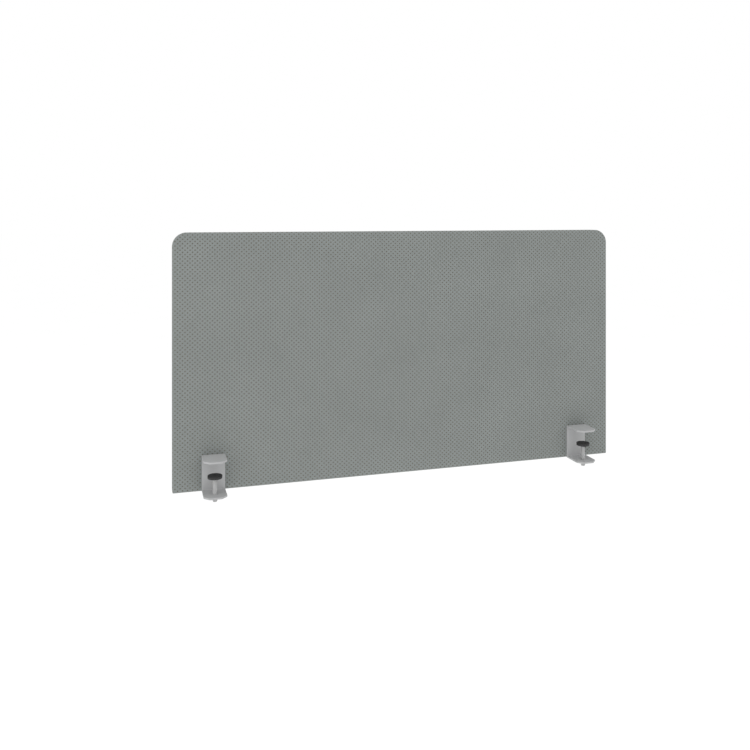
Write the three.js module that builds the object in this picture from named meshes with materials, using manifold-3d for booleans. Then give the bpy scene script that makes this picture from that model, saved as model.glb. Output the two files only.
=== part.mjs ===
// Desk privacy panel: a fabric-covered screen that two steel clamps hold on the edge of a desk.
// Millimetres, +Z up. X = 0 is the middle of the panel. Y = 0 is the front face of the clamp plates,
// which meets the desk's edge. Z = 0 is the underside of the top jaws, which rests on the desktop.
// The desk lies towards -Y and the panel stands at +Y.

import * as THREE from 'three';
import { mergeVertices } from 'three/addons/utils/BufferGeometryUtils.js';
import Module from 'manifold-3d';

const wasm = await Module();
wasm.setup();

// Every pair of touching pieces keeps this much air between them.
const GAP = 0.3;
// A cutting tool runs this far past the faces that it goes through.
const OVERRUN = 1;

// Panel: a grooved board between two thin pads, inside a front and a rear fabric cover.
const PANEL_WIDTH = 850;
const PANEL_HEIGHT = 450;
const TOP_CORNER_RADIUS = 25;
const BOTTOM_CORNER_RADIUS = 1.5;
const PANEL_BELOW_DESKTOP = 59.5;
const BOARD_THICKNESS = 15;
const PADDING_THICKNESS = 1.2;
const COVER_THICKNESS = 0.7;
const GROOVE_WIDTH = 5.4;
const GROOVE_DEPTH = 9;
const SPLINE_WIDTH = 2.8;
const SPLINE_RECESS = 0.4;
const SPLINE_DEPTH = 8.2;

// Clamp bracket: one bent steel strip with two jaws.
const CLAMP_TO_PANEL_END = 69.5;
const STRIP_WIDTH = 40;
const STRIP_THICKNESS = 3;
const JAW_REACH = 46.5;
const JAW_CORNER_CUT = 9.7;
const BRACKET_HEIGHT = 63.3;
const BEND_INNER_RADIUS = 1;
const BEND_OUTER_RADIUS = 1.5;

// Clamp screw: M8 by 1.25, with a turned neck and button that the pad snaps over.
const SCREW_REACH = 25.7;
const SCREW_RADIUS = 3.7;
const SCREW_HOLE_RADIUS = 4.25;
const SCREW_BELOW_BRACKET = 9.7;
const SCREW_SOCKET_ACROSS = 4;
const SCREW_SOCKET_DEPTH = 4.5;
const NECK_RADIUS = 2.2;
const BUTTON_RADIUS = 3.2;
const BUTTON_HEIGHT = 2;
const WELD_NUT_ACROSS = 13;
const WELD_NUT_HEIGHT = 4;

// Swivel pad: a plastic cup with a rubber face.
const DESKTOP_THICKNESS = 25;
const PAD_RADIUS = 12.5;
const PAD_HEIGHT = 5;
const PAD_FACE_THICKNESS = 1.3;
const PAD_EDGE_ROUND = 0.6;
const PAD_LIP = 0.65;

// Bracket fixings: studs on the plate's back, through the panel into flat-headed sleeve nuts.
const STUD_HEIGHTS = { upper: -10.5, lower: -42.5 };
const STUD_RADIUS = 2.9;
const STUD_LENGTH = 14;
const STUD_BASE_RADIUS = 3.75;
const STUD_BASE_THICKNESS = 1;
const SLEEVE_RADIUS = 4;
const SLEEVE_BORE_RADIUS = 3.2;
const SLEEVE_FLOOR = 4;
const SLEEVE_LENGTH = 15;
const SLEEVE_HEAD_RADIUS = 7.5;
const SLEEVE_HEAD_THICKNESS = 1.8;
const SLEEVE_SOCKET_ACROSS = 4;
const SLEEVE_SOCKET_DEPTH = 2.6;
const WASHER_RADIUS = 9;
const WASHER_THICKNESS = 1.2;

// Steps round a full turn, and across a panel corner.
const ROUND_STEPS = 32;
const SMALL_ROUND_STEPS = 20;
const CORNER_STEPS = 8;

// Places along Y that follow from the sizes above.
const PANEL_FRONT = STRIP_THICKNESS + GAP;
const FRONT_PADDING = PANEL_FRONT + COVER_THICKNESS + GAP;
const BOARD_FRONT = FRONT_PADDING + PADDING_THICKNESS + GAP;
const PANEL_MIDDLE = BOARD_FRONT + BOARD_THICKNESS / 2;
const BOARD_REAR = BOARD_FRONT + BOARD_THICKNESS;
const REAR_PADDING = BOARD_REAR + GAP;
const PANEL_REAR = 2 * PANEL_MIDDLE - PANEL_FRONT;
const WASHER_REAR = PANEL_REAR + GAP + WASHER_THICKNESS;

// Places along Z.
const PANEL_BOTTOM = -PANEL_BELOW_DESKTOP;
const BRACKET_TOP = STRIP_THICKNESS;
const BRACKET_BOTTOM = BRACKET_TOP - BRACKET_HEIGHT;
const PAD_TOP = -DESKTOP_THICKNESS;
const PAD_BOTTOM = PAD_TOP - PAD_HEIGHT;
const CLAMP_X = PANEL_WIDTH / 2 - CLAMP_TO_PANEL_END;

const BOARD_INSET = COVER_THICKNESS + GAP;
const PASSAGE_RADIUS = SLEEVE_RADIUS + GAP;

const materials = {
  fabric: { color: 0x868a88, roughness: 0.95, metalness: 0 },
  board: { color: 0xb08d62, roughness: 0.85, metalness: 0 },
  padding: { color: 0xd8d8d4, roughness: 0.95, metalness: 0 },
  spline: { color: 0x5c5f5e, roughness: 0.6, metalness: 0 },
  bracket: { color: 0xb9babb, roughness: 0.45, metalness: 0.1 },
  steel: { color: 0xb4b6b8, roughness: 0.35, metalness: 0.9 },
  padBody: { color: 0x2b2b2c, roughness: 0.5, metalness: 0 },
  padFace: { color: 0x242424, roughness: 0.85, metalness: 0 },
};

// Booleans -----------------------------------------------------------------------------------------

function toSolid(geometry) {
  const bare = geometry.index ? geometry.toNonIndexed() : geometry.clone();
  bare.deleteAttribute('normal');
  bare.deleteAttribute('uv');
  const merged = mergeVertices(bare, 1e-4);
  const kept = [];
  for (let i = 0; i < merged.index.count; i += 3) {
    const [a, b, c] = [0, 1, 2].map((k) => merged.index.getX(i + k));
    if (a !== b && b !== c && c !== a) kept.push(a, b, c);
  }
  return new wasm.Manifold(new wasm.Mesh({
    numProp: 3,
    vertProperties: new Float32Array(merged.attributes.position.array),
    triVerts: new Uint32Array(kept),
  }));
}

function toGeometry(solid) {
  const mesh = solid.getMesh();
  const geometry = new THREE.BufferGeometry();
  geometry.setAttribute('position', new THREE.BufferAttribute(mesh.vertProperties, 3));
  geometry.setIndex(new THREE.BufferAttribute(mesh.triVerts, 1));
  geometry.computeVertexNormals();
  return geometry;
}

function cut(geometry, ...tools) {
  const solid = tools.reduce((left, tool) => left.subtract(toSolid(tool)), toSolid(geometry));
  return toGeometry(solid);
}

// Basic forms --------------------------------------------------------------------------------------

function extrude(shape, depth) {
  return new THREE.ExtrudeGeometry(shape, { depth, bevelEnabled: false, curveSegments: CORNER_STEPS });
}

// The panel's outline moved in by inset, as a plate between two places along Y.
function panelSlab(inset, from, to) {
  const half = PANEL_WIDTH / 2 - inset;
  const bottom = PANEL_BOTTOM + inset;
  const top = PANEL_BOTTOM + PANEL_HEIGHT - inset;
  const upper = Math.max(TOP_CORNER_RADIUS - inset, GAP);
  const lower = Math.max(BOTTOM_CORNER_RADIUS - inset, GAP);
  const quarter = Math.PI / 2;
  const outline = new THREE.Shape();
  outline.moveTo(half - lower, bottom);
  outline.absarc(half - lower, bottom + lower, lower, -quarter, 0);
  outline.absarc(half - upper, top - upper, upper, 0, quarter);
  outline.absarc(upper - half, top - upper, upper, quarter, 2 * quarter);
  outline.absarc(lower - half, bottom + lower, lower, 2 * quarter, 3 * quarter);
  outline.closePath();
  return extrude(outline, to - from).rotateX(quarter).translate(0, to, 0);
}

// A profile of [radius, height] points turned round the Z axis.
function turned(profile, steps) {
  const points = profile.map(([radius, height]) => new THREE.Vector2(radius, height));
  return new THREE.LatheGeometry(points, steps).rotateX(Math.PI / 2);
}

// The same, round an axis along +Y, with heights counted along it.
function turnedAlongY(profile, steps) {
  return turned(profile, steps).rotateX(-Math.PI / 2);
}

function ringProfile(inner, outer, low, high) {
  return [[inner, low], [outer, low], [outer, high], [inner, high], [inner, low]];
}

function discProfile(radius, low, high) {
  return [[0, low], [radius, low], [radius, high], [0, high]];
}

function hexPrism(acrossFlats, height) {
  const corner = acrossFlats / Math.sqrt(3);
  const outline = new THREE.Shape();
  for (let i = 0; i < 6; i += 1) {
    const angle = (i * Math.PI) / 3;
    outline[i ? 'lineTo' : 'moveTo'](corner * Math.cos(angle), corner * Math.sin(angle));
  }
  outline.closePath();
  return extrude(outline, height);
}

// The four passages through the panel, as rods of one radius between two places along Y.
function passages(radius, from, to) {
  const rods = [];
  for (const x of [-CLAMP_X, CLAMP_X]) {
    for (const z of Object.values(STUD_HEIGHTS)) {
      rods.push(turnedAlongY(discProfile(radius, from, to), SMALL_ROUND_STEPS).translate(x, 0, z));
    }
  }
  return rods;
}

// Panel pieces -------------------------------------------------------------------------------------

function coreBoard() {
  const low = PANEL_MIDDLE - GROOVE_WIDTH / 2;
  const high = PANEL_MIDDLE + GROOVE_WIDTH / 2;
  const groove = cut(
    panelSlab(BOARD_INSET - OVERRUN, low, high),
    panelSlab(BOARD_INSET + GROOVE_DEPTH, low - OVERRUN, high + OVERRUN),
  );
  const rods = passages(PASSAGE_RADIUS, BOARD_FRONT - OVERRUN, BOARD_REAR + OVERRUN);
  return cut(panelSlab(BOARD_INSET, BOARD_FRONT, BOARD_REAR), groove, ...rods);
}

function padding(from) {
  const to = from + PADDING_THICKNESS;
  return cut(panelSlab(BOARD_INSET, from, to), ...passages(PASSAGE_RADIUS, from - OVERRUN, to + OVERRUN));
}

// A fabric tray: the face, the wrap over the edge, and the lip that is tucked into the groove.
function cover() {
  const lipFront = PANEL_MIDDLE - GROOVE_WIDTH / 2 + GAP;
  const lipRear = lipFront + COVER_THICKNESS;
  return cut(
    panelSlab(0, PANEL_FRONT, lipRear),
    panelSlab(COVER_THICKNESS, PANEL_FRONT + COVER_THICKNESS, lipFront),
    panelSlab(GROOVE_DEPTH, lipFront - OVERRUN, lipRear + OVERRUN),
    ...passages(PASSAGE_RADIUS, PANEL_FRONT - OVERRUN, lipFront),
  );
}

function edgeSpline() {
  const low = PANEL_MIDDLE - SPLINE_WIDTH / 2;
  const high = PANEL_MIDDLE + SPLINE_WIDTH / 2;
  return cut(panelSlab(SPLINE_RECESS, low, high), panelSlab(SPLINE_DEPTH, low - OVERRUN, high + OVERRUN));
}

// Clamp pieces, round the middle of one clamp ------------------------------------------------------

// The strip's side view, drawn with Y to the right and Z up.
function stripProfile() {
  const t = STRIP_THICKNESS;
  const inner = BEND_INNER_RADIUS;
  const outer = BEND_OUTER_RADIUS;
  const quarter = Math.PI / 2;
  const profile = new THREE.Shape();
  profile.moveTo(-JAW_REACH, BRACKET_BOTTOM);
  profile.absarc(t - outer, BRACKET_BOTTOM + outer, outer, -quarter, 0);
  profile.absarc(t - outer, BRACKET_TOP - outer, outer, 0, quarter);
  profile.lineTo(-JAW_REACH, BRACKET_TOP);
  profile.lineTo(-JAW_REACH, BRACKET_TOP - t);
  profile.absarc(-inner, BRACKET_TOP - t - inner, inner, quarter, 0, true);
  profile.absarc(-inner, BRACKET_BOTTOM + t + inner, inner, 0, -quarter, true);
  profile.lineTo(-JAW_REACH, BRACKET_BOTTOM + t);
  profile.closePath();
  return profile;
}

// Seen from above: the strip's width with both jaw corners cut off.
function stripPlan() {
  const half = STRIP_WIDTH / 2;
  const back = STRIP_THICKNESS + OVERRUN;
  const plan = new THREE.Shape();
  plan.moveTo(-half, back);
  plan.lineTo(-half, JAW_CORNER_CUT - JAW_REACH);
  plan.lineTo(JAW_CORNER_CUT - half, -JAW_REACH);
  plan.lineTo(half - JAW_CORNER_CUT, -JAW_REACH);
  plan.lineTo(half, JAW_CORNER_CUT - JAW_REACH);
  plan.lineTo(half, back);
  plan.closePath();
  return plan;
}

function bracket() {
  const alongX = new THREE.Matrix4().set(0, 0, 1, 0, 1, 0, 0, 0, 0, 1, 0, 0, 0, 0, 0, 1);
  const bent = extrude(stripProfile(), STRIP_WIDTH + 2 * OVERRUN);
  bent.applyMatrix4(alongX).translate(-STRIP_WIDTH / 2 - OVERRUN, 0, 0);
  const planned = extrude(stripPlan(), BRACKET_HEIGHT + 2 * OVERRUN);
  planned.translate(0, 0, BRACKET_BOTTOM - OVERRUN);
  const hole = turned(
    discProfile(SCREW_HOLE_RADIUS, BRACKET_BOTTOM - OVERRUN, BRACKET_BOTTOM + STRIP_THICKNESS + OVERRUN),
    SMALL_ROUND_STEPS,
  ).translate(0, -SCREW_REACH, 0);
  return cut(toGeometry(toSolid(bent).intersect(toSolid(planned))), hole);
}

function weldNut() {
  const top = BRACKET_BOTTOM - GAP;
  const hex = hexPrism(WELD_NUT_ACROSS, WELD_NUT_HEIGHT).translate(0, 0, top - WELD_NUT_HEIGHT);
  const bore = turned(
    discProfile(SCREW_HOLE_RADIUS, top - WELD_NUT_HEIGHT - OVERRUN, top + OVERRUN),
    SMALL_ROUND_STEPS,
  );
  return cut(hex, bore).translate(0, -SCREW_REACH, 0);
}

function clampScrew() {
  const bottom = BRACKET_BOTTOM - SCREW_BELOW_BRACKET;
  const chamfer = SCREW_RADIUS / 6;
  const shoulder = PAD_BOTTOM - 2 * GAP;
  const buttonBottom = PAD_BOTTOM + PAD_LIP + GAP;
  const buttonTop = buttonBottom + BUTTON_HEIGHT;
  const profile = [
    [0, bottom],
    [SCREW_RADIUS - chamfer, bottom],
    [SCREW_RADIUS, bottom + chamfer],
    [SCREW_RADIUS, shoulder - chamfer],
    [SCREW_RADIUS - chamfer, shoulder],
    [NECK_RADIUS, shoulder],
    [NECK_RADIUS, buttonBottom],
    [BUTTON_RADIUS, buttonBottom + chamfer],
    [BUTTON_RADIUS, buttonTop - chamfer],
    [BUTTON_RADIUS - chamfer, buttonTop],
    [0, buttonTop],
  ];
  const socket = hexPrism(SCREW_SOCKET_ACROSS, SCREW_SOCKET_DEPTH + OVERRUN);
  socket.translate(0, 0, bottom - OVERRUN);
  return cut(turned(profile, SMALL_ROUND_STEPS), socket).translate(0, -SCREW_REACH, 0);
}

// A quarter round on a [radius, height] profile, from one angle to another about its centre.
function quarterRound(radius, height, from, to) {
  const steps = 4;
  return Array.from({ length: steps + 1 }, (_, i) => {
    const angle = from + ((to - from) * i) / steps;
    return [radius + PAD_EDGE_ROUND * Math.cos(angle), height + PAD_EDGE_ROUND * Math.sin(angle)];
  });
}

function padBody() {
  const top = PAD_TOP - PAD_FACE_THICKNESS - GAP;
  const cupRadius = BUTTON_RADIUS + GAP;
  const neckHole = NECK_RADIUS + GAP;
  const round = PAD_RADIUS - PAD_EDGE_ROUND;
  const profile = [
    [neckHole, PAD_BOTTOM],
    ...quarterRound(round, PAD_BOTTOM + PAD_EDGE_ROUND, -Math.PI / 2, 0),
    [PAD_RADIUS, top],
    [cupRadius, top],
    [cupRadius, PAD_BOTTOM + PAD_LIP],
    [neckHole, PAD_BOTTOM + PAD_LIP],
    [neckHole, PAD_BOTTOM],
  ];
  return turned(profile, ROUND_STEPS).translate(0, -SCREW_REACH, 0);
}

function padFace() {
  const bottom = PAD_TOP - PAD_FACE_THICKNESS;
  const round = PAD_RADIUS - PAD_EDGE_ROUND;
  const profile = [
    [0, bottom],
    [PAD_RADIUS, bottom],
    ...quarterRound(round, PAD_TOP - PAD_EDGE_ROUND, 0, Math.PI / 2),
    [0, PAD_TOP],
  ];
  return turned(profile, ROUND_STEPS).translate(0, -SCREW_REACH, 0);
}

// Fixings of one stud place, on an axis along Y ----------------------------------------------------

function weldStud() {
  const base = STRIP_THICKNESS + GAP;
  const end = base + STUD_LENGTH;
  const chamfer = STUD_RADIUS / 4;
  const profile = [
    [0, base],
    [STUD_BASE_RADIUS, base],
    [STUD_BASE_RADIUS, base + STUD_BASE_THICKNESS],
    [STUD_RADIUS, base + STUD_BASE_THICKNESS],
    [STUD_RADIUS, end - chamfer],
    [STUD_RADIUS - chamfer, end],
    [0, end],
  ];
  return turnedAlongY(profile, SMALL_ROUND_STEPS);
}

function rearWasher() {
  return turnedAlongY(
    ringProfile(PASSAGE_RADIUS, WASHER_RADIUS, WASHER_REAR - WASHER_THICKNESS, WASHER_REAR),
    SMALL_ROUND_STEPS,
  );
}

function sleeveNut() {
  const seat = WASHER_REAR + GAP;
  const end = seat + SLEEVE_HEAD_THICKNESS;
  const mouth = seat - SLEEVE_LENGTH;
  const chamfer = SLEEVE_HEAD_THICKNESS / 3;
  const floor = seat - SLEEVE_FLOOR;
  const profile = [
    [0, floor],
    [SLEEVE_BORE_RADIUS, floor],
    [SLEEVE_BORE_RADIUS, mouth],
    [SLEEVE_RADIUS, mouth],
    [SLEEVE_RADIUS, seat],
    [SLEEVE_HEAD_RADIUS, seat],
    [SLEEVE_HEAD_RADIUS, end - chamfer],
    [SLEEVE_HEAD_RADIUS - chamfer, end],
    [0, end],
  ];
  const socket = hexPrism(SLEEVE_SOCKET_ACROSS, SLEEVE_SOCKET_DEPTH + OVERRUN);
  socket.rotateX(-Math.PI / 2).translate(0, end - SLEEVE_SOCKET_DEPTH, 0);
  return cut(turnedAlongY(profile, SMALL_ROUND_STEPS), socket);
}

// Assembly -----------------------------------------------------------------------------------------

function piece(name, geometry, material) {
  const mesh = new THREE.Mesh(geometry, new THREE.MeshStandardMaterial(materials[material]));
  mesh.name = name;
  return mesh;
}

function panel() {
  const group = new THREE.Group();
  const rearCover = cover().rotateZ(Math.PI).translate(0, 2 * PANEL_MIDDLE, 0);
  group.add(
    piece('core_board', coreBoard(), 'board'),
    piece('front_padding', padding(FRONT_PADDING), 'padding'),
    piece('rear_padding', padding(REAR_PADDING), 'padding'),
    piece('front_cover', cover(), 'fabric'),
    piece('rear_cover', rearCover, 'fabric'),
    piece('edge_spline', edgeSpline(), 'spline'),
  );
  return group;
}

function clamp(side, x) {
  const group = new THREE.Group();
  group.position.x = x;
  group.add(
    piece(`${side}_bracket`, bracket(), 'bracket'),
    piece(`${side}_weld_nut`, weldNut(), 'bracket'),
    piece(`${side}_clamp_screw`, clampScrew(), 'steel'),
    piece(`${side}_pad_body`, padBody(), 'padBody'),
    piece(`${side}_pad_face`, padFace(), 'padFace'),
  );
  for (const [place, z] of Object.entries(STUD_HEIGHTS)) {
    const fixing = new THREE.Group();
    fixing.position.z = z;
    fixing.add(
      piece(`${side}_${place}_stud`, weldStud(), 'steel'),
      piece(`${side}_${place}_washer`, rearWasher(), 'bracket'),
      piece(`${side}_${place}_sleeve_nut`, sleeveNut(), 'steel'),
    );
    group.add(fixing);
  }
  return group;
}

const privacyPanel = new THREE.Group();
privacyPanel.add(panel(), clamp('left', -CLAMP_X), clamp('right', CLAMP_X));

export default privacyPanel;
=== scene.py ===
"""Looks of the desk privacy panel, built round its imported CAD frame. Metres, +Z up, desk towards -Y."""

import math

import bmesh
import bpy
import numpy as np
from mathutils import Matrix, Vector


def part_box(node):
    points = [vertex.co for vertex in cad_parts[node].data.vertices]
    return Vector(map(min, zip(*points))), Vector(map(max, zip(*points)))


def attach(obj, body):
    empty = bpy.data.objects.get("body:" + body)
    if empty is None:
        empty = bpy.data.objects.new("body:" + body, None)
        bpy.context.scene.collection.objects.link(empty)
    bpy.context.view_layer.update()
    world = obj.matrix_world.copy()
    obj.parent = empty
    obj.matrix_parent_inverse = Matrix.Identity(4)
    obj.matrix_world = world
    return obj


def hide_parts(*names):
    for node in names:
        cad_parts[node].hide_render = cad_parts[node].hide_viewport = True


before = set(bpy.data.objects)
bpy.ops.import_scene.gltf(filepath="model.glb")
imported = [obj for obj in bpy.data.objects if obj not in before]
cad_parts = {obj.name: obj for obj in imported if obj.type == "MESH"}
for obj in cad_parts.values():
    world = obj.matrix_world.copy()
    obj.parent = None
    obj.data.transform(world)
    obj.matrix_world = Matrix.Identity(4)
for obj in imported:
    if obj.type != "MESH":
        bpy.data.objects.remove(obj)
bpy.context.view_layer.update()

MM = 0.001
SIDES = ("left", "right")
LEVELS = ("upper", "lower")

# What still counts as two points, as an edge and as a face, in metres and square metres.
SAME_POINT = 1e-7
LEAST_EDGE = 1e-6
LEAST_AREA = 1e-10
KEY_STEP = 1e-8  # points of the clamp strip closer than this are one vertex

# Edges sharper than this are drawn sharp, on hard pieces and on the pressed fabric.
SHARP_ANGLE = math.radians(35)
FABRIC_SHARP_ANGLE = math.radians(80)

# The fabric's grid: pits at every place where column and row are both even or both odd.
COLUMN_STEP = 4.25 * MM
ROW_STEP = 3.75 * MM
FIRST_ROW = 3.39 * MM  # above the panel's lower edge
PIT_RADIUS = 1.15 * MM
PIT_DEPTH = 0.45 * MM
PIT_SIDES = 6
RIDGE_RISE = 0.22 * MM  # the ridges stand this far proud of the CAD cover
PLAIN_BORDER = 3.2 * MM  # pits closer than this to the rolled edge aren't pressed in

# The panel's outline and the fabric's way round its edge.
TOP_CORNER_RADIUS = 25 * MM
TOP_CORNER_STEPS = 16
BOTTOM_CORNER_RADIUS = 1.5 * MM
BOTTOM_CORNER_STEPS = 4
EDGE_ROLL = 0.9 * MM
FABRIC_THICKNESS = 0.7 * MM
LIP_DEPTH = 6 * MM
LIP_ROLL = 0.8 * MM
SEAM_HALF_WIDTH = 1.7 * MM
PASSAGE_RADIUS = 4.3 * MM  # where a sleeve nut goes through
PASSAGE_STEPS = 24
PASSAGE_BORDER = 3.3 * MM  # a pit's centre is at least this far from a passage's rim
PASSAGE_REACH = 20 * MM  # the grid's open boundary round a passage is within this distance of its centre

# Edge welt.
WELT_DEPTH = 8.2 * MM  # from the panel's edge to the welt's foot
WELT_FOOT_CHAMFER = 0.5 * MM
WELT_FOOT_SHARE = 0.7  # the foot's width, as a share of the welt's thickness
WELT_HEAD_SHARE = 0.8  # the round head's height, as a share of half the thickness

# Clamp strip.
STRIP_THICKNESS = 3 * MM
BEND_INNER_RADIUS = 1.0 * MM
BEND_OUTER_RADIUS = 1.5 * MM
BEND_STEPS = 6
JAW_CORNER_CUT = 9.7 * MM
JAW_CORNER_ROUND = 0.35 * MM
JAW_CORNER_STEPS = 4
STRIP_EDGE_ROUND = 0.25 * MM
STRIP_EDGE_STEPS = 3
STRIP_EDGE_ANGLE = math.radians(60)  # edges sharper than this are rounded
SCREW_HOLE_RADIUS = 4.1 * MM
SCREW_HOLE_HALF_STEPS = 32

# The clamp screw's thread, and the hexagon sockets of clamp screws and sleeve nuts.
SCREW_PITCH = 1.25 * MM
SCREW_MAJOR_RADIUS = 3.97 * MM
SCREW_MINOR_RADIUS = 3.3 * MM
THREAD_ROWS_PER_PITCH = 12
SOCKET_ACROSS_FLATS = 4 * MM

# Steps round turned pieces.
NUT_STEPS = 144
THREAD_STEPS = 48
PAD_STEPS = 64
FIXING_STEPS = 48


# Frame readings -------------------------------------------------------------------------------------

front_low, front_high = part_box("front_cover")
_, rear_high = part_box("rear_cover")
PANEL_FRONT = front_low.y
PANEL_MIDDLE = (PANEL_FRONT + rear_high.y) / 2
PANEL_HALF_WIDTH = front_high.x
PANEL_BOTTOM = front_low.z
PANEL_TOP = front_high.z


def centre(node):
    low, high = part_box(node)
    return (low + high) / 2


# Meshes ---------------------------------------------------------------------------------------------


def new_object(name, data):
    obj = bpy.data.objects.new(name, data)
    bpy.context.scene.collection.objects.link(obj)
    return obj


def finished_mesh(name, bm, sharp_angle=SHARP_ANGLE):
    """A mesh made from bm, with its faces turned outwards, smooth but for edges sharper than the angle."""
    bmesh.ops.recalc_face_normals(bm, faces=bm.faces)
    for face in bm.faces:
        face.smooth = True
    mesh = bpy.data.meshes.new(name)
    bm.to_mesh(mesh)
    bm.free()
    mesh.set_sharp_from_angle(angle=sharp_angle)
    return mesh


def around(items):
    """Each item of a list with the next one, and the last with the first."""
    return zip(items, items[1:] + items[:1])


def ring_of(bm, points):
    return [bm.verts.new(point) for point in points]


def ring_edges(bm, ring):
    """The edges from each vertex of a closed ring to the next, made where there are none yet."""
    return [bm.edges.get(pair) or bm.edges.new(pair) for pair in around(ring)]


def bridge(bm, rings, closed=False):
    """Quads between each ring of vertices and the next."""
    pairs = around(rings) if closed else zip(rings, rings[1:])
    for lower, upper in pairs:
        for i in range(len(lower)):
            j = (i + 1) % len(lower)
            bm.faces.new((lower[i], lower[j], upper[j], upper[i]))


def step_angles(steps):
    return np.arange(steps) * 2 * math.pi / steps


def revolved(name, rings, steps, place, closed=False):
    """A solid of rings round the Z axis. A ring is (radius, height), each a number or one value per step.
    The first and last ring are joined if the section is closed, or else both are capped."""
    bm = bmesh.new()
    angles = step_angles(steps)
    rows = []
    for radius, height in rings:
        radii = np.broadcast_to(radius, steps)
        heights = np.broadcast_to(height, steps)
        rows.append(ring_of(bm, zip(radii * np.cos(angles), radii * np.sin(angles), heights)))
    bridge(bm, rows, closed)
    if not closed:
        bm.faces.new(rows[0])
        bm.faces.new(rows[-1])
    bmesh.ops.transform(bm, matrix=place, verts=bm.verts)
    return new_object(name, finished_mesh(name, bm))


def upright(low, high):
    """The place of a piece made round the Z axis at its own height, in the middle of the node's box."""
    return Matrix.Translation(((low.x + high.x) / 2, (low.y + high.y) / 2, 0))


def along_y(middle):
    """The place of a piece made round the Z axis whose axis runs along +Y, through the node's middle."""
    return Matrix.Translation((middle.x, 0, middle.z)) @ Matrix.Rotation(-math.pi / 2, 4, "X")


def hex_radii(across_flats, steps):
    """The radius of a hexagon's boundary at each step round it. Its corners fall on steps."""
    return across_flats / 2 / np.cos(step_angles(steps) % (math.pi / 3) - math.pi / 6)


def rounded(radius, height, size, start, end, steps=3):
    """Rings of a quarter round about the point (radius, height), between two angles in degrees."""
    angles = np.radians(np.linspace(start, end, steps + 1))
    return [(radius + size * math.cos(a), height + size * math.sin(a)) for a in angles]


# The panel's outline --------------------------------------------------------------------------------


def corner_centres():
    """(centre x, centre z, radius, first angle in degrees) of the outline's corners, anticlockwise."""
    top, bottom = TOP_CORNER_RADIUS, BOTTOM_CORNER_RADIUS
    return [
        (PANEL_HALF_WIDTH - top, PANEL_TOP - top, top, 0),
        (top - PANEL_HALF_WIDTH, PANEL_TOP - top, top, 90),
        (bottom - PANEL_HALF_WIDTH, PANEL_BOTTOM + bottom, bottom, 180),
        (PANEL_HALF_WIDTH - bottom, PANEL_BOTTOM + bottom, bottom, 270),
    ]


def outline(inset):
    """The panel's outline moved inwards, as points in X and Z, anticlockwise as drawn with X to the right."""
    points = []
    for x, z, radius, first in corner_centres():
        steps = TOP_CORNER_STEPS if radius == TOP_CORNER_RADIUS else BOTTOM_CORNER_STEPS
        for angle in np.radians(np.linspace(first, first + 90, steps + 1)):
            reach = max(radius - inset, 0)
            px, pz = x + reach * math.cos(angle), z + reach * math.sin(angle)
            points.append(kept_inside(px, pz, inset))
    return points


def kept_inside(x, z, inset):
    """The point moved, if need be, to the inset outline's bounding rectangle."""
    half = PANEL_HALF_WIDTH - inset
    return min(max(x, -half), half), min(max(z, PANEL_BOTTOM + inset), PANEL_TOP - inset)


def outward(x, z):
    """The outline's outward direction at the place on it nearest to a point close to the edge."""
    for cx, cz, _, first in corner_centres():
        sx, sz = math.copysign(1, cx), 1 if first < 180 else -1
        if (x - cx) * sx > 0 and (z - cz) * sz > 0:
            length = math.hypot(x - cx, z - cz)
            return (x - cx) / length, (z - cz) / length
    to_edges = [
        (PANEL_HALF_WIDTH - x, (1, 0)),
        (PANEL_HALF_WIDTH + x, (-1, 0)),
        (PANEL_TOP - z, (0, 1)),
        (z - PANEL_BOTTOM, (0, -1)),
    ]
    return min(to_edges)[1]


def outline_planes(inset):
    """(x, z, outward x, outward z) of each straight piece of the inset outline."""
    planes = []
    for (ax, az), (bx, bz) in around(outline(inset)):
        length = math.hypot(bx - ax, bz - az)
        if length > LEAST_EDGE:
            planes.append((ax, az, (bz - az) / length, (ax - bx) / length))
    return planes


def inside_margin(planes, x, z):
    """How far the point is inside the convex outline that the planes bound."""
    return min((px - x) * nx + (pz - z) * nz for px, pz, nx, nz in planes)


# Fabric covers --------------------------------------------------------------------------------------


def lattice_point(column, row):
    return column * COLUMN_STEP, PANEL_BOTTOM + FIRST_ROW + row * ROW_STEP


def cell_corners(column, row):
    """The rhombic cell's corners on the lattice: east, north, west, south."""
    return [(column + 1, row), (column, row + 1), (column - 1, row), (column, row - 1)]


def sorted_cells(planes, holes):
    """The cells that get a pressed pit, and the plain ones along the edge, with none at a passage."""
    columns = math.ceil(PANEL_HALF_WIDTH / COLUMN_STEP) + 1
    rows = math.ceil((PANEL_TOP - PANEL_BOTTOM) / ROW_STEP) + 1
    pressed, plain = [], []
    for column in range(-columns, columns + 1):
        for row in range(-1, rows + 1):
            if (column + row) % 2:
                continue
            x, z = lattice_point(column, row)
            margin = inside_margin(planes, x, z)
            if margin < -max(COLUMN_STEP, ROW_STEP):
                continue
            if any(math.hypot(x - hx, z - hz) < PASSAGE_RADIUS + PASSAGE_BORDER for hx, hz in holes):
                continue
            (pressed if margin > max(COLUMN_STEP, PLAIN_BORDER) else plain).append((column, row))
    return pressed, plain


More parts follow.
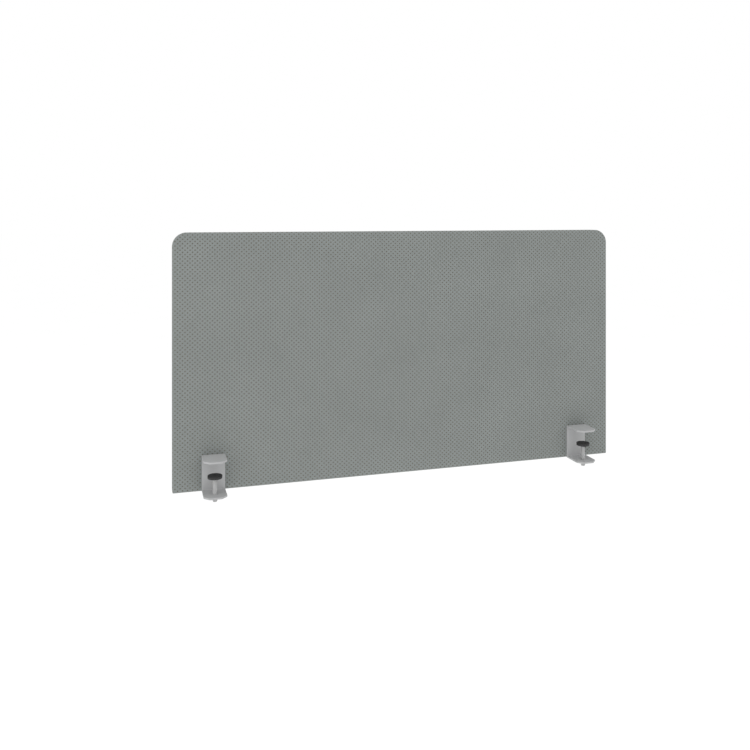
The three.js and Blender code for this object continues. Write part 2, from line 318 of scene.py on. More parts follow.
def clipped_cells(cells, planes, height):
    """Plain rhombic cells cut off at the convex outline, as lists of corners in X and Z."""
    bm = bmesh.new()
    corners = {}
    for cell in cells:
        keys = cell_corners(*cell)
        for key in keys:
            if key not in corners:
                x, z = lattice_point(*key)
                corners[key] = bm.verts.new((x, height, z))
        bm.faces.new([corners[key] for key in keys])
    for x, z, nx, nz in planes:
        bmesh.ops.bisect_plane(
            bm,
            geom=bm.verts[:] + bm.edges[:] + bm.faces[:],
            dist=SAME_POINT,
            plane_co=(x, height, z),
            plane_no=(nx, 0, nz),
            clear_outer=True,
        )
    kept = [face for face in bm.faces if face.calc_area() > LEAST_AREA]
    polygons = [[(v.co.x, v.co.z) for v in face.verts] for face in kept]
    bm.free()
    return polygons


def boundary_loops(bm):
    """The closed loops of edges that have one face, as ordered lists of vertices."""
    following = {}
    for edge in bm.edges:
        if len(edge.link_faces) == 1:
            for vert in edge.verts:
                following.setdefault(vert, []).append(edge.other_vert(vert))
    loops, seen = [], set()
    for start in following:
        if start in seen:
            continue
        loop, vert, last = [], start, None
        while vert not in seen:
            seen.add(vert)
            loop.append(vert)
            vert, last = next(v for v in following[vert] if v is not last), vert
        loops.append(loop)
    return loops


def cover_profile(face, lip):
    """(inset, place along Y) from the face's edge over the roll, along the side, into the groove and back
    on the inner side. face and lip are the places of the outer surface."""
    roll, thickness, turn = EDGE_ROLL, FABRIC_THICKNESS, LIP_ROLL
    profile = []
    for angle in np.radians([22.5, 45, 67.5, 90]):
        profile.append((roll - roll * math.sin(angle), face + roll - roll * math.cos(angle)))
    for angle in np.radians([0, 30, 60, 90]):
        profile.append((turn - turn * math.cos(angle), lip - turn + turn * math.sin(angle)))
    profile.append((LIP_DEPTH, lip))
    profile.append((LIP_DEPTH, lip - thickness))
    profile.append((thickness, lip - thickness))
    for angle in np.radians([90, 45, 0]):
        reach = roll - thickness
        profile.append((roll - reach * math.sin(angle), face + roll - reach * math.cos(angle)))
    return profile


def fabric_cover(name, holes):
    """The front cover: a face of pressed pits, the roll over the edge and the lip in the groove. Every vertex
    carries its place on the unrolled fabric, so that the pattern goes on round the edge."""
    face_y = PANEL_FRONT - RIDGE_RISE
    inner_y = face_y + FABRIC_THICKNESS
    lip_y = PANEL_MIDDLE - SEAM_HALF_WIDTH
    bm = bmesh.new()
    flat = bm.verts.layers.float_vector.new("weave")
    known = {}

    def woven(x, y, z, fabric_x, fabric_z):
        """A new vertex, with its place on the unrolled fabric."""
        vert = bm.verts.new((x, y, z))
        vert[flat] = (fabric_x, fabric_z - PANEL_BOTTOM, 0)
        return vert

    def on_face(x, z):
        """The one vertex of the outer face at this place."""
        key = (round(x / LEAST_EDGE), round(z / LEAST_EDGE))
        if key not in known:
            known[key] = woven(x, face_y, z, x, z)
        return known[key]

    def fill(edges):
        bmesh.ops.triangle_fill(bm, use_beauty=True, use_dissolve=False, edges=edges)

    # The outer face.
    planes = outline_planes(EDGE_ROLL)
    pressed, plain = sorted_cells(planes, holes)
    turn = [2 * math.pi * k / PIT_SIDES for k in range(PIT_SIDES)]
    for column, row in pressed:
        x, z = lattice_point(column, row)
        east, north, west, south = (on_face(*lattice_point(*key)) for key in cell_corners(column, row))
        ring = []
        for angle in turn:
            px, pz = x + PIT_RADIUS * math.cos(angle), z + PIT_RADIUS * math.sin(angle)
            ring.append(woven(px, face_y + PIT_DEPTH, pz, px, pz))
        r0, r1, r2, r3, r4, r5 = ring
        bm.faces.new(ring)
        for slope in (
            (r5, east, r0), (r0, east, r1), (r1, east, north), (r1, north, r2), (r2, north, west),
            (r2, west, r3), (r3, west, r4), (r4, west, south), (r4, south, r5), (r5, south, east),
        ):
            bm.faces.new(slope)
    for polygon in clipped_cells(plain, planes, face_y):
        bm.faces.new([on_face(x, z) for x, z in polygon])

    # The passages, each a short tube from the outer face to the inner.
    outer, *ragged = sorted(boundary_loops(bm), key=len, reverse=True)
    inner_edges = []
    for hx, hz in holes:
        loop = next(v for v in ragged if math.hypot(v[0].co.x - hx, v[0].co.z - hz) < PASSAGE_REACH)
        circle, far_circle = [], []
        for k in range(PASSAGE_STEPS):
            angle = 2 * math.pi * k / PASSAGE_STEPS
            x, z = hx + PASSAGE_RADIUS * math.cos(angle), hz + PASSAGE_RADIUS * math.sin(angle)
            circle.append(on_face(x, z))
            far_circle.append(woven(x, inner_y, z, x, z))
        bridge(bm, [circle, far_circle])
        fill(ring_edges(bm, loop) + ring_edges(bm, circle))
        inner_edges += ring_edges(bm, far_circle)

    # The way round the edge, which ends at the inner face.
    rings, travelled, last = [outer], 0, (EDGE_ROLL, face_y)
    ways = [(v.co.x, v.co.z, *outward(v.co.x, v.co.z)) for v in outer]
    for inset, y in cover_profile(face_y, lip_y):
        travelled += math.hypot(inset - last[0], y - last[1])
        last = (inset, y)
        ring = []
        for x, z, nx, nz in ways:
            reach = EDGE_ROLL - inset
            px, pz = kept_inside(x + nx * reach, z + nz * reach, inset)
            ring.append(woven(px, y, pz, x + nx * travelled, z + nz * travelled))
        rings.append(ring)
    bridge(bm, rings)
    fill(inner_edges + ring_edges(bm, rings[-1]))
    bmesh.ops.remove_doubles(bm, verts=bm.verts[:], dist=SAME_POINT)
    return new_object(name, finished_mesh(name, bm, FABRIC_SHARP_ANGLE))


def mirrored_cover(name, source):
    """The same cover for the other side, mirrored in the panel's middle plane."""
    mesh = source.data.copy()
    mesh.name = name
    mesh.transform(Matrix.Translation((0, 2 * PANEL_MIDDLE, 0)) @ Matrix.Scale(-1, 4, (0, 1, 0)))
    mesh.flip_normals()
    return new_object(name, mesh)


# Edge welt ------------------------------------------------------------------------------------------


def edge_welt(name):
    """The plastic welt that is pressed into the groove all round, with a rounded head."""
    low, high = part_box("edge_spline")
    half = (high.y - low.y) / 2
    recess = PANEL_HALF_WIDTH - high.x
    foot, shoulder = half * WELT_FOOT_SHARE, WELT_DEPTH - WELT_FOOT_CHAMFER
    section = [(WELT_DEPTH, -foot), (WELT_DEPTH, foot), (shoulder, half)]
    for angle in np.radians([0, 25, 50, 75, 90, 105, 130, 155, 180]):
        section.append((recess + half * WELT_HEAD_SHARE * (1 - math.sin(angle)), half * math.cos(angle)))
    section.append((shoulder, -half))
    bm = bmesh.new()
    rings = [ring_of(bm, [(x, PANEL_MIDDLE + y, z) for x, z in outline(inset)]) for inset, y in section]
    bridge(bm, rings, closed=True)
    bmesh.ops.remove_doubles(bm, verts=bm.verts[:], dist=SAME_POINT)
    bmesh.ops.dissolve_degenerate(bm, dist=SAME_POINT, edges=bm.edges[:])
    return new_object(name, finished_mesh(name, bm))


# Clamps ---------------------------------------------------------------------------------------------

# Stations along the strip: below 1 the distance from the upper jaw's tip, then the share of the upper bend
# after 1 and of the lower bend after 2, each share from 0 to a half, and from 3 the distance from the lower
# jaw's tip.
UPPER_BEND, LOWER_BEND, LOWER_JAW = 1, 2, 3


def strip_point(u, station, outside, low, high, x):
    """A point of the bent strip: u across it, on its outer or its inner side. low and high are its box."""
    radius = BEND_OUTER_RADIUS if outside else BEND_INNER_RADIUS
    back = high.y if outside else high.y - STRIP_THICKNESS
    top = high.z if outside else high.z - STRIP_THICKNESS
    bottom = low.z if outside else low.z + STRIP_THICKNESS
    if station < UPPER_BEND:
        return (x + u, low.y + station, top)
    if station < LOWER_BEND:
        angle = (station - UPPER_BEND) * math.pi
        return (x + u, back - radius * (1 - math.sin(angle)), top - radius * (1 - math.cos(angle)))
    if station < LOWER_JAW:
        angle = (station - LOWER_BEND) * math.pi
        return (x + u, back - radius * (1 - math.cos(angle)), bottom + radius * (1 - math.sin(angle)))
    return (x + u, low.y + station - LOWER_JAW, bottom)


def jaw_tip(half):
    """The jaw's tip as (u, distance from the tip), from one side to the other, with eased corners."""
    cut, ease = JAW_CORNER_CUT, JAW_CORNER_ROUND
    side = 10 * MM  # only gives the direction of the jaw's straight sides
    corners = [(-half, cut), (cut - half, 0), (half - cut, 0), (half, cut)]
    path = [(-half, cut + side)] + corners + [(half, cut + side)]
    points = []
    for before, corner, after in zip(path, path[1:], path[2:]):
        before, corner, after = Vector(before), Vector(corner), Vector(after)
        start = corner + (before - corner).normalized() * ease
        end = corner + (after - corner).normalized() * ease
        for k in range(JAW_CORNER_STEPS + 1):
            w = k / JAW_CORNER_STEPS
            points.append(tuple(start * (1 - w) ** 2 + corner * 2 * w * (1 - w) + end * w ** 2))
    return points


def bent_bracket(name, node):
    """A strip bent into a C, with cut jaw corners and a hole for the screw in the lower jaw."""
    low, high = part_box(node)
    x = (low.x + high.x) / 2
    half = (high.x - low.x) / 2
    screw = centre(node.replace("bracket", "clamp_screw"))
    hole = screw.y - low.y
    bends = [bend + k / (2 * BEND_STEPS) for bend in (UPPER_BEND, LOWER_BEND) for k in range(BEND_STEPS + 1)]
    bm = bmesh.new()
    made = {}

    def at(u, station, outside):
        key = (round(u / KEY_STEP), round(station / KEY_STEP), outside)
        if key not in made:
            made[key] = bm.verts.new(strip_point(u, station, outside, low, high, x))
        return made[key]

    tip = jaw_tip(half)
    lower_tip = [(-u, LOWER_JAW + d) for u, d in tip]
    tip_middle = (0, LOWER_JAW)
    middle = len(lower_tip) // 2
    half_circle = []
    for k in range(SCREW_HOLE_HALF_STEPS + 1):
        angle = math.pi * k / SCREW_HOLE_HALF_STEPS
        half_circle.append((SCREW_HOLE_RADIUS * math.sin(angle), SCREW_HOLE_RADIUS * math.cos(angle)))

    # The lower jaw is two halves that meet on its middle line, because a face can't have a hole.
    right_half = [(0, bends[-1]), (half, bends[-1])] + lower_tip[:middle] + [tip_middle]
    right_half += [(u, LOWER_JAW + hole + v) for u, v in reversed(half_circle)]
    left_half = [(-u, station) for u, station in reversed(right_half)]
    sheets = [tip + [(half, bends[0]), (-half, bends[0])], right_half, left_half]
    for a, b in zip(bends, bends[1:]):
        meeting = [(0, b)] if b == bends[-1] else []
        sheets.append([(-half, a), (half, a), (half, b)] + meeting + [(-half, b)])
    for sheet in sheets:
        for outside in (False, True):
            bm.faces.new([at(u, station, outside) for u, station in sheet])

    rim = tip + [(half, station) for station in bends]
    rim += lower_tip[:middle] + [tip_middle] + lower_tip[middle:]
    rim += [(-half, station) for station in reversed(bends)]
    around_hole = [(u, LOWER_JAW + hole + v) for u, v in half_circle]
    around_hole += [(-u, LOWER_JAW + hole - v) for u, v in half_circle[1:-1]]
    for path in (rim, around_hole):
        for a, b in around(path):
            bm.faces.new((at(*a, False), at(*b, False), at(*b, True), at(*a, True)))

    bmesh.ops.recalc_face_normals(bm, faces=bm.faces)
    sharp = [e for e in bm.edges if e.is_manifold and e.calc_face_angle() > STRIP_EDGE_ANGLE]
    bmesh.ops.bevel(
        bm, geom=sharp, offset=STRIP_EDGE_ROUND, segments=STRIP_EDGE_STEPS, profile=0.5, affect="EDGES"
    )
    obj = new_object(name, finished_mesh(name, bm))
    # Large flat faces keep flat shading where they meet the small rounded ones.
    obj.modifiers.new("weighted_normals", "WEIGHTED_NORMAL").keep_sharp = True
    return obj


def weld_nut(name, node):
    """A chamfered hexagon nut with a rippled fillet weld round it that joins it to the jaw above."""
    low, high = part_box(node)
    bore, bore_chamfer = SCREW_MAJOR_RADIUS + 0.12 * MM, 0.5 * MM
    flat_share, chamfer_angle = 0.96, math.radians(30)
    corner_ease = 0.06 * MM
    leg, ripples, ripple_share, ripple_phase = 1.0 * MM, 30, 0.07, 1.3
    curve = ((0, 1), (0.35, 0.8), (0.7, 0.5), (0.95, 0.15), (1, 0))  # the weld's section, in legs
    inset = 0.3 * MM
    jaw = high.z + 0.28 * MM

    across = high.y - low.y
    hexagon = hex_radii(across, NUT_STEPS)
    flat_circle = across / 2 * flat_share
    chamfer = np.maximum(hexagon - flat_circle, 0) * math.tan(chamfer_angle)
    bead = leg * (1 + ripple_share * np.sin(ripples * step_angles(NUT_STEPS) + ripple_phase))
    rings = [
        (bore, low.z + bore_chamfer),
        (bore + bore_chamfer, low.z),
        (flat_circle, low.z),
        (hexagon - corner_ease, low.z + chamfer),
        (hexagon, low.z + chamfer + 2 * corner_ease),
    ]
    rings += [(hexagon + bead * out, jaw - bead * down) for out, down in curve]
    rings += [(hexagon - inset, jaw), (bore + bore_chamfer, high.z), (bore, high.z - bore_chamfer)]
    return revolved(name, rings, NUT_STEPS, upright(low, high), closed=True)


def thread_radius(turns):
    """The radius of an ISO thread at a share of its pitch: a flat crest, two flanks and a wider root."""
    rise = np.interp(turns % 1, [0, 0.07, 0.38, 0.62, 0.93, 1], [1, 1, 0, 0, 1, 1])
    return SCREW_MINOR_RADIUS + (SCREW_MAJOR_RADIUS - SCREW_MINOR_RADIUS) * rise


def clamp_screw(name, node):
    """An M8 screw with a hexagon socket in its lower end and a button on top that the pad snaps over."""
    low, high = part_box(node)
    pad_low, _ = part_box(node.replace("clamp_screw", "pad_body"))
    socket_mouth, socket_depth, drill_depth, drill_share = 0.3 * MM, 4.4 * MM, 4.9 * MM, 0.55
    mouth_radius, end_radius = 2.5 * MM, 3.15 * MM
    neck, neck_round = 2.2 * MM, 0.3 * MM
    button, button_lower_round, button_upper_round = 3.2 * MM, 0.4 * MM, 0.5 * MM
    shoulder_height = pad_low.z - 0.6 * MM
    button_height = pad_low.z + 0.95 * MM

    turn = np.arange(THREAD_STEPS) / THREAD_STEPS
    socket = hex_radii(SOCKET_ACROSS_FLATS, THREAD_STEPS)
    rings = [
        (socket * drill_share, low.z + drill_depth),
        (socket, low.z + socket_depth),
        (socket, low.z + socket_mouth),
        (mouth_radius, low.z),
    ]
    rows = round((shoulder_height - low.z) / (SCREW_PITCH / THREAD_ROWS_PER_PITCH))
    for height in np.linspace(low.z, shoulder_height, rows + 1):
        limit = end_radius + min(height - low.z, shoulder_height - height)
        rings.append((np.minimum(thread_radius(height / SCREW_PITCH - turn), limit), height))
    rings += rounded(neck + neck_round, shoulder_height + neck_round, neck_round, 270, 180, 2)
    rings += [(neck, button_height)]
    rings += rounded(
        button - button_lower_round, button_height + button_lower_round, button_lower_round, 270, 360
    )
    rings += rounded(button - button_upper_round, high.z - button_upper_round, button_upper_round, 0, 90)
    return revolved(name, rings, THREAD_STEPS, upright(low, high))


def pad_cup(name, node):
    """The pad's moulded body, with a ring-shaped recess below and a pocket for the screw's button."""
    low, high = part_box(node)
    radius = high.x - (low.x + high.x) / 2
    bottom, top = low.z, high.z + 0.12 * MM
    hole, hole_mouth, hole_chamfer = 2.5 * MM, 2.7 * MM, 0.2 * MM
    pocket, pocket_floor = 3.5 * MM, 0.65 * MM
    recess_depth, rim_round = 0.35 * MM, 0.15 * MM
    hub_rim, recess_inner, recess_outer, skirt_rim = 5.6 * MM, 5.8 * MM, 9.6 * MM, 9.9 * MM
    bottom_round, top_round = 0.6 * MM, 0.2 * MM

    rings = [(hole, bottom + pocket_floor), (hole, bottom + hole_chamfer), (hole_mouth, bottom)]
    rings += rounded(hub_rim, bottom + rim_round, rim_round, 270, 360, 2)
    rings += [(recess_inner, bottom + recess_depth), (recess_outer, bottom + recess_depth)]
    rings += rounded(skirt_rim, bottom + rim_round, rim_round, 180, 270, 2)
    rings += rounded(radius - bottom_round, bottom + bottom_round, bottom_round, 270, 360, 5)
    rings += rounded(radius - top_round, top - top_round, top_round, 0, 90, 2)
    rings += [(pocket, top), (pocket, bottom + pocket_floor)]
    return revolved(name, rings, PAD_STEPS, upright(low, high), closed=True)


def pad_rubber(name, node):
    """The pad's rubber face, with a rounded edge and three fine grooves."""
    low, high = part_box(node)
    radius = high.x - (low.x + high.x) / 2
    innermost, lower_round, upper_round = 0.8 * MM, 0.15 * MM, 0.5 * MM
    groove_radii = (8.8, 6.2, 3.6)  # mm
    groove_section = ((0.35, 0), (0.18, 0.14), (0, 0.18), (-0.18, 0.14), (-0.35, 0))  # mm out and down

    rings = [(innermost, low.z)]
    rings += rounded(radius - lower_round, low.z + lower_round, lower_round, 270, 360, 2)
    rings += rounded(radius - upper_round, high.z - upper_round, upper_round, 0, 90, 6)
    for groove in groove_radii:
        rings += [((groove + out) * MM, high.z - down * MM) for out, down in groove_section]
    rings += [(innermost, high.z)]
    return revolved(name, rings, PAD_STEPS, upright(low, high))


# Fixings at the back --------------------------------------------------------------------------------


def sleeve_nut(name, node):
    """A flat-headed sleeve nut with a hexagon socket, its bore open towards the stud."""
    low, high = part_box(node)
    middle = (low + high) / 2
    head = high.x - middle.x
    seat = high.y - 1.8 * MM
    bore, bore_mouth, bore_chamfer, bore_end = 3.2 * MM, 3.5 * MM, 0.3 * MM, 4 * MM
    shank, shank_end, shank_chamfer = 4 * MM, 3.85 * MM, 0.15 * MM
    seat_inset, head_lower_round, head_upper_round = 0.2 * MM, 0.25 * MM, 0.7 * MM
    socket_rim, socket_mouth, rim_depth, mouth_depth = 2.75 * MM, 2.55 * MM, 0.08 * MM, 0.3 * MM
    socket_depth, drill_depth, drill_share = 2.4 * MM, 2.6 * MM, 0.5

    socket = hex_radii(SOCKET_ACROSS_FLATS, FIXING_STEPS)
    rings = [(bore, seat - bore_end), (bore, low.y + bore_chamfer), (bore_mouth, low.y)]
    rings += [(shank_end, low.y), (shank, low.y + shank_chamfer), (shank, seat), (head - seat_inset, seat)]
    rings += rounded(head - head_lower_round, seat + head_lower_round, head_lower_round, 270, 360, 2)
    rings += rounded(head - head_upper_round, high.y - head_upper_round, head_upper_round, 0, 90, 4)
    rings += [(socket_rim, high.y), (socket_mouth, high.y - rim_depth), (socket, high.y - mouth_depth)]
    rings += [(socket, high.y - socket_depth), (socket * drill_share, high.y - drill_depth)]
    return revolved(name, rings, FIXING_STEPS, along_y(middle))


def rear_washer(name, node):
    """A thick washer with eased edges, more so on the outside."""
    low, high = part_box(node)
    middle = (low + high) / 2
    radius = high.x - middle.x
    bore, ease, outer_ease = 4.3 * MM, 0.25 * MM, 0.5 * MM
    rings = rounded(bore + ease, low.y + ease, ease, 180, 270, 2)
    rings += rounded(radius - ease, low.y + ease, ease, 270, 360, 2)
    rings += rounded(radius - outer_ease, high.y - outer_ease, outer_ease, 0, 90, 3)
    rings += rounded(bore + ease, high.y - ease, ease, 90, 180, 2)
    return revolved(name, rings, FIXING_STEPS, along_y(middle), closed=True)


# Node materials -------------------------------------------------------------------------------------

# Linear colours. A pair runs from the darkest to the lightest that a surface shows.
# The yarn's darker end stands for painted shade in the gaps between stitches, its lighter end for the raised
# loops.
YARN_SHADED_TO_LIT = (0.169, 0.183, 0.178), (0.333, 0.358, 0.350)
PIT_WALL = (0.137, 0.136, 0.115), (0.228, 0.225, 0.197)
# The pits' floor colour is the core's colour darkened by painted shade inside the hole.
PIT_BOTTOM_SHADE = (0.071, 0.068, 0.057), (0.142, 0.139, 0.121)
POWDER_COAT = (0.372, 0.376, 0.379), (0.462, 0.465, 0.468)
POLISHED_COAT = (0.55, 0.55, 0.555)
SCREW_ZINC = (0.50, 0.503, 0.506), (0.63, 0.63, 0.625)
FIXING_ZINC = (0.40, 0.403, 0.408), (0.54, 0.54, 0.54)
POLISHED_ZINC = (0.82, 0.82, 0.81)
PAD_BLACK = (0.020, 0.020, 0.021), (0.034, 0.034, 0.035)
RUBBER_BLACK = (0.017, 0.017, 0.018), (0.032, 0.032, 0.032)
WELT_GREY = (0.10, 0.105, 0.104), (0.14, 0.145, 0.143)
SCUFF = (0.3, 0.3, 0.29)
FIBREBOARD = (0.26, 0.17, 0.095), (0.52, 0.38, 0.24)
FELT = (0.52, 0.52, 0.49), (0.78, 0.78, 0.75)
FLOOR_WHITE = (0.90, 0.90, 0.90), (0.92, 0.92, 0.92)


class Nodes:
    """Short ways to add shader nodes to one material."""

    def __init__(self, name):
        self.material = bpy.data.materials.new(name)
        self.material.use_nodes = True
        self.tree = self.material.node_tree
        self.tree.nodes.clear()
        self.shader = self.add("ShaderNodeBsdfPrincipled")
        output = self.add("ShaderNodeOutputMaterial")
        self.tree.links.new(self.shader.outputs["BSDF"], output.inputs["Surface"])

    def add(self, kind, **settings):
        node = self.tree.nodes.new(kind)
        for name, value in settings.items():
            setattr(node, name, value)
        return node

    def put(self, socket, value):
        """Links or sets one input."""
        if isinstance(value, bpy.types.NodeSocket):
            self.tree.links.new(value, socket)
        else:
            socket.default_value = value

    def math(self, operation, *values, clamp=False):
        node = self.add("ShaderNodeMath", operation=operation, use_clamp=clamp)
        for socket, value in zip(node.inputs, values):
            self.put(socket, value)
        return node.outputs[0]

    def plus(self, a, b):
        return self.math("ADD", a, b)

    def minus(self, a, b):
        return self.math("SUBTRACT", a, b)

    def times(self, a, b):
        return self.math("MULTIPLY", a, b)

    def weighted(self, a, share_of_a, b, share_of_b):
        return self.plus(self.times(a, share_of_a), self.times(b, share_of_b))

    def centred(self, value, swing):
        """A value from 0 to 1, turned into one from minus half the swing to plus half."""
        return self.times(self.minus(value, 0.5), swing)

    def smooth(self, value, start, end):
        """0 at the start, rising smoothly to 1 at the end, which may be the lower of the two."""
        node = self.add("ShaderNodeMapRange", interpolation_type="SMOOTHSTEP")
        for name, given in (("Value", value), ("From Min", start), ("From Max", end)):
            self.put(node.inputs[name], given)
        return node.outputs[0]

    def noise(self, vector, scale, detail=2.0, roughness=0.5):
        node = self.add("ShaderNodeTexNoise")
        self.put(node.inputs["Vector"], vector)
        for name, value in (("Scale", scale), ("Detail", detail), ("Roughness", roughness)):
            node.inputs[name].default_value = value
        return node.outputs["Fac"]

    def mix(self, share, a, b):
        """A colour between a and b, each of which is a socket or a linear colour."""
        node = self.add("ShaderNodeMix", data_type="RGBA")
        self.put(node.inputs[0], share)
        for socket, colour in ((node.inputs[6], a), (node.inputs[7], b)):
            self.put(socket, (*colour, 1) if isinstance(colour, tuple) else colour)
        return node.outputs[2]

    def stretched(self, vector, scale):
        node = self.add("ShaderNodeVectorMath", operation="MULTIPLY")
        self.put(node.inputs[0], vector)
        node.inputs[1].default_value = scale
        return node.outputs[0]

    def place(self):
        """The point's place in the row frame at rest."""
        return self.add("ShaderNodeTexCoord").outputs["Object"]

    def edge_wear(self, radius):
        """0 on flat faces, rising towards 1 on edges sharper than the radius."""
        bevel = self.add("ShaderNodeBevel", samples=6)
        bevel.inputs["Radius"].default_value = radius
        geometry = self.add("ShaderNodeNewGeometry")
        dot = self.add("ShaderNodeVectorMath", operation="DOT_PRODUCT")
        self.put(dot.inputs[0], bevel.outputs["Normal"])
        self.put(dot.inputs[1], geometry.outputs["Normal"])
        return self.smooth(dot.outputs["Value"], start=0.995, end=0.9)

    def bump(self, height, strength, distance):
        node = self.add("ShaderNodeBump")
        self.put(node.inputs["Height"], height)
        node.inputs["Strength"].default_value = strength
        node.inputs["Distance"].default_value = distance
        return node.outputs["Normal"]

    def finish(self, colour, roughness, normal, **fixed):
        """Fills the shader's sockets. The fixed ones are named with _ for each space."""
        self.put(self.shader.inputs["Base Color"], colour)
        self.put(self.shader.inputs["Roughness"], roughness)
        self.put(self.shader.inputs["Normal"], normal)
        for name, value in fixed.items():
            self.shader.inputs[name.replace("_", " ")].default_value = value
        return self.material


def pit_distance(n, weave, across, along):
    """The distance in mm from the nearest pit's centre, with an uneven rim. across and along count the
    grid's columns and rows, and a and b count pits along the grid's two diagonals."""
    a = n.times(n.plus(across, along), 0.5)
    b = n.times(n.minus(across, along), 0.5)
    from_a = n.minus(a, n.math("ROUND", a))
    from_b = n.minus(b, n.math("ROUND", b))
    dx = n.times(n.plus(from_a, from_b), COLUMN_STEP / MM)
    dz = n.times(n.minus(from_a, from_b), ROW_STEP / MM)
    wobble = n.noise(weave, scale=900.0, detail=1.0)
    distance = n.math("SQRT", n.plus(n.times(dx, dx), n.times(dz, dz)))
    return n.plus(distance, n.centred(wobble, 0.5))


def knit_stitches(n, across, along):
    """The height, from 0 to 1, of V-shaped stitches: five wales and five courses to each grid step."""
    stitches_per_step = 5.0
    lean = n.math("ABSOLUTE", n.centred(n.math("FRACT", n.times(across, stitches_per_step)), 2.0))
    course = n.plus(n.times(along, stitches_per_step), n.times(lean, 0.7))
    loop = n.math("MULTIPLY_ADD", n.math("COSINE", n.times(course, 2 * math.pi)), 0.5, 0.5)
    from_yarn = n.math("ABSOLUTE", n.math("MULTIPLY_ADD", lean, 2.0, -1.0))
    ridge = n.minus(1.0, n.math("POWER", from_yarn, 2.5))
    return n.times(loop, ridge)


def fabric_material():
    """Grey spacer knit: rows of fine stitches between round pits that show the brownish core, with painted
    shade in the gaps between stitches and on the pits' floors.
    """
    n = Nodes("panel_fabric")
    weave = n.add("ShaderNodeAttribute", attribute_type="GEOMETRY", attribute_name="weave").outputs["Vector"]
    split = n.add("ShaderNodeSeparateXYZ")
    n.put(split.inputs[0], weave)
    across = n.math("DIVIDE", split.outputs["X"], COLUMN_STEP)
    along = n.math("DIVIDE", n.minus(split.outputs["Y"], FIRST_ROW), ROW_STEP)
    distance = pit_distance(n, weave, across, along)
    pit = n.smooth(distance, start=1.65, end=1.0)
    # Painted shade: the colour darkens further towards each pit's centre, for the shade at the bottom of the
    # hole.
    pit_bottom_shade = n.smooth(distance, start=1.05, end=0.45)
    stitch = knit_stitches(n, across, along)

    fibres = n.noise(n.stretched(weave, (1.0, 3.0, 1.0)), scale=2600.0, detail=3.0, roughness=0.65)
    yarn = n.noise(n.stretched(weave, (1.0, 0.12, 1.0)), scale=420.0)
    cloudy = n.noise(n.place(), scale=9.0, detail=3.0)
    # Painted shade: the yarn's colour follows the stitches' height, darker in the gaps between them; the
    # noises add random variation.
    stitch_shade_and_tone = n.plus(n.times(stitch, 0.55), n.centred(fibres, 0.5))
    stitch_shade_and_tone = n.plus(stitch_shade_and_tone, n.centred(yarn, 0.3))
    stitch_shade_and_tone = n.plus(stitch_shade_and_tone, n.centred(cloudy, 0.3))
    stitch_shade_and_tone = n.math("ADD", stitch_shade_and_tone, 0.3, clamp=True)
    colour = n.mix(pit, n.mix(stitch_shade_and_tone, *YARN_SHADED_TO_LIT), n.mix(fibres, *PIT_WALL))
    colour = n.mix(pit_bottom_shade, colour, n.mix(fibres, *PIT_BOTTOM_SHADE))
    roughness = n.minus(n.plus(0.86, n.times(fibres, 0.12)), n.times(stitch, 0.05))

    height = n.minus(n.times(stitch, 0.7), n.times(pit, 1.2))
    height = n.plus(height, n.times(fibres, 0.3))
    normal = n.bump(height, strength=0.75, distance=0.0002)
    return n.finish(
        colour, roughness, normal, Sheen_Weight=0.05, Sheen_Roughness=0.5, Specular_IOR_Level=0.04
    )


def paint_material():
    """Light grey powder coat: fine orange peel, a little dirt, and slightly polished edges."""
    n = Nodes("bracket_paint")
    place = n.place()
    peel = n.noise(place, scale=1150.0, roughness=0.45)
    grain = n.noise(place, scale=5200.0, roughness=0.6)
    cloudy = n.noise(place, scale=38.0, detail=4.0, roughness=0.6)
    smear = n.noise(n.stretched(place, (1.0, 1.0, 0.25)), scale=160.0, detail=4.0, roughness=0.7)
    worn = n.times(n.edge_wear(radius=0.0006), n.smooth(smear, start=0.42, end=0.7))
    colour = n.mix(n.weighted(cloudy, 0.6, grain, 0.4), *POWDER_COAT)
    colour = n.mix(n.times(worn, 0.5), colour, POLISHED_COAT)
    roughness = n.minus(n.plus(0.4, n.times(smear, 0.16)), n.times(worn, 0.1))
    normal = n.bump(n.plus(peel, n.times(grain, 0.25)), strength=0.35, distance=0.00006)
    return n.finish(colour, roughness, normal, Specular_IOR_Level=0.45)


def steel_material(name, colours, least_roughness, metallic):
    """Zinc-plated steel: a dull bright surface with fine machining marks and slightly polished edges."""
    n = Nodes(name)
    place = n.place()
    marks = n.noise(n.stretched(place, (60.0, 60.0, 4000.0)), scale=1.0, roughness=0.6)
    crystals = n.noise(place, scale=900.0, detail=3.0, roughness=0.6)
    cloudy = n.noise(place, scale=90.0, detail=3.0)
    colour = n.mix(n.weighted(crystals, 0.5, cloudy, 0.5), *colours)
    colour = n.mix(n.times(n.edge_wear(radius=0.0002), 0.35), colour, POLISHED_ZINC)
    roughness = n.plus(least_roughness, n.times(n.plus(marks, crystals), 0.12))
    normal = n.bump(n.weighted(marks, 0.6, crystals, 0.4), strength=0.25, distance=0.00003)
    return n.finish(colour, roughness, normal, Metallic=metallic)


def plastic_material(name, colours, least_roughness, grain_scale):
    """Moulded plastic or rubber: a fine spark-eroded grain, slight dust and scuffs."""
    n = Nodes(name)
    place = n.place()
    grain = n.noise(place, scale=grain_scale, detail=3.0, roughness=0.6)
    cloudy = n.noise(place, scale=140.0, detail=3.0, roughness=0.6)
    streaks = n.noise(n.stretched(place, (1.0, 0.2, 1.0)), scale=900.0, detail=3.0, roughness=0.7)
    scuffs = n.smooth(streaks, start=0.56, end=0.75)
    colour = n.mix(n.weighted(grain, 0.5, cloudy, 0.5), *colours)
    colour = n.mix(n.times(scuffs, 0.12), colour, SCUFF)
    roughness = n.minus(n.plus(least_roughness, n.times(cloudy, 0.14)), n.times(scuffs, 0.06))
    normal = n.bump(grain, strength=0.3, distance=0.00005)
    return n.finish(colour, roughness, normal, Specular_IOR_Level=0.35)


